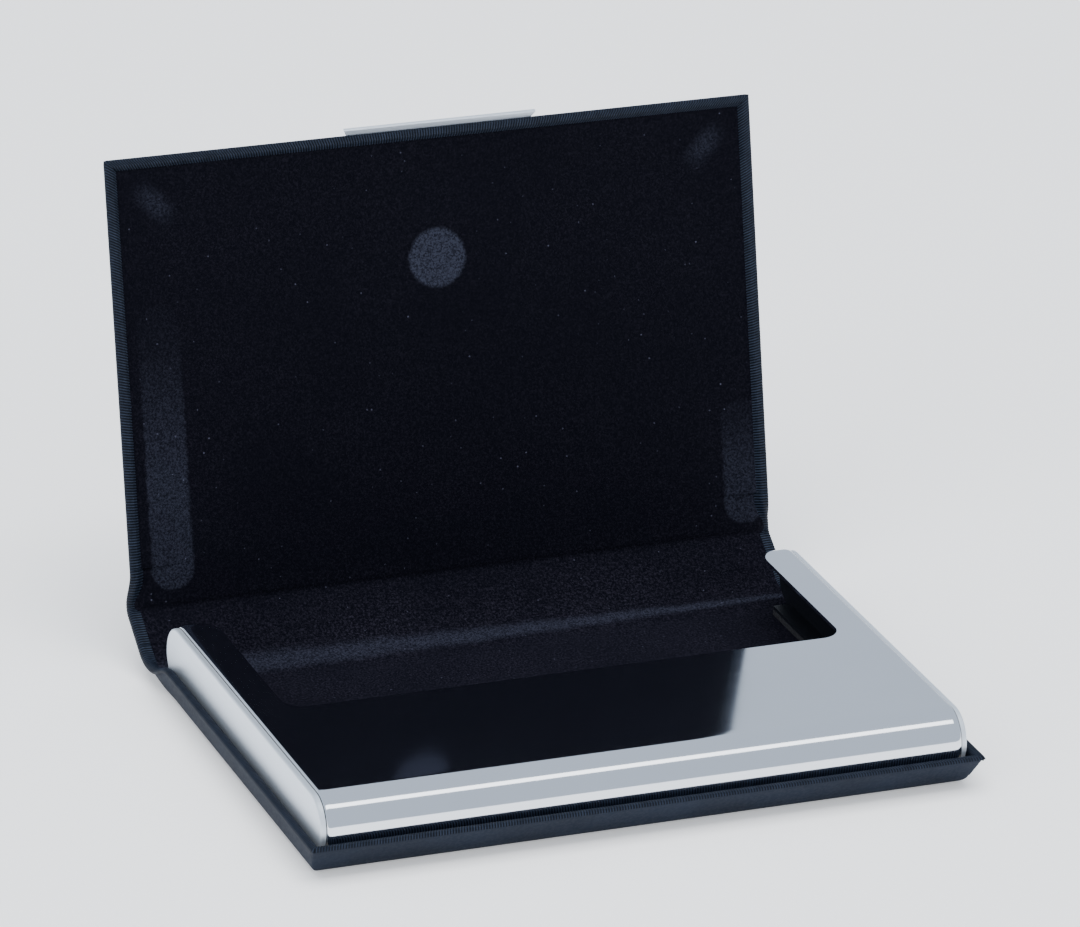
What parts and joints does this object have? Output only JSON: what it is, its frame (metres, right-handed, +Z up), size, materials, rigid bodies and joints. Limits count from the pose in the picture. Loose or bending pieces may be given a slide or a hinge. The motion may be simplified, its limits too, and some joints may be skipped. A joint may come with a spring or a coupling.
{
  "type": "business card case",
  "caption": "Clamshell business card case with a leatherette skin, velvet lining, soft spine, magnet lid and a polished steel card tray open to the rear.",
  "frame": {"origin": "centre of the flat face that the case rests on", "axes": "+X to the right along the folds, +Y from the front to the spine, +Z up from the resting face"},
  "size_m": [0.0974, 0.0917, 0.0709],
  "materials": {
    "leatherette": "smooth fine-grained leatherette, semi-matt",
    "velvet": "short-pile velvet, napped",
    "board": "pressed fibre sheet, matt",
    "card": "grey card, matt",
    "polished_steel": "mirror-polished stainless steel",
    "satin_steel": "satin stainless steel",
    "magnet": "nickel-plated",
    "foam": "closed-cell adhesive foam, matt"
  },
  "bodies": {
    "base": {"base_cover": "leatherette", "base_board": "board", "base_lining": "velvet", "tray_sheet": "polished_steel", "tray_end_left": "satin_steel", "tray_end_right": "satin_steel", "foam_tape_front": "foam", "foam_tape_left": "foam", "foam_tape_right": "foam"},
    "spine": {"spine_cover": "leatherette", "spine_lining": "velvet"},
    "lid": {"lid_cover": "leatherette", "lid_board": "board", "lid_insert": "card", "lid_lining": "velvet", "magnet": "magnet", "clasp_plate": "polished_steel"}
  },
  "joints": [
    {"name": "spine_fold", "type": "hinge", "parent": "base", "child": "spine", "pos_m": [0, 0.0315, 0.00025], "axis": [1, 0, 0], "range_deg": [-33.5, 53.5]},
    {"name": "lid_fold", "type": "hinge", "parent": "spine", "child": "lid", "pos_m": [0, 0.04165, 0.00696], "axis": [1, 0, 0], "range_deg": [-42.9, 50.1]}
  ]
}
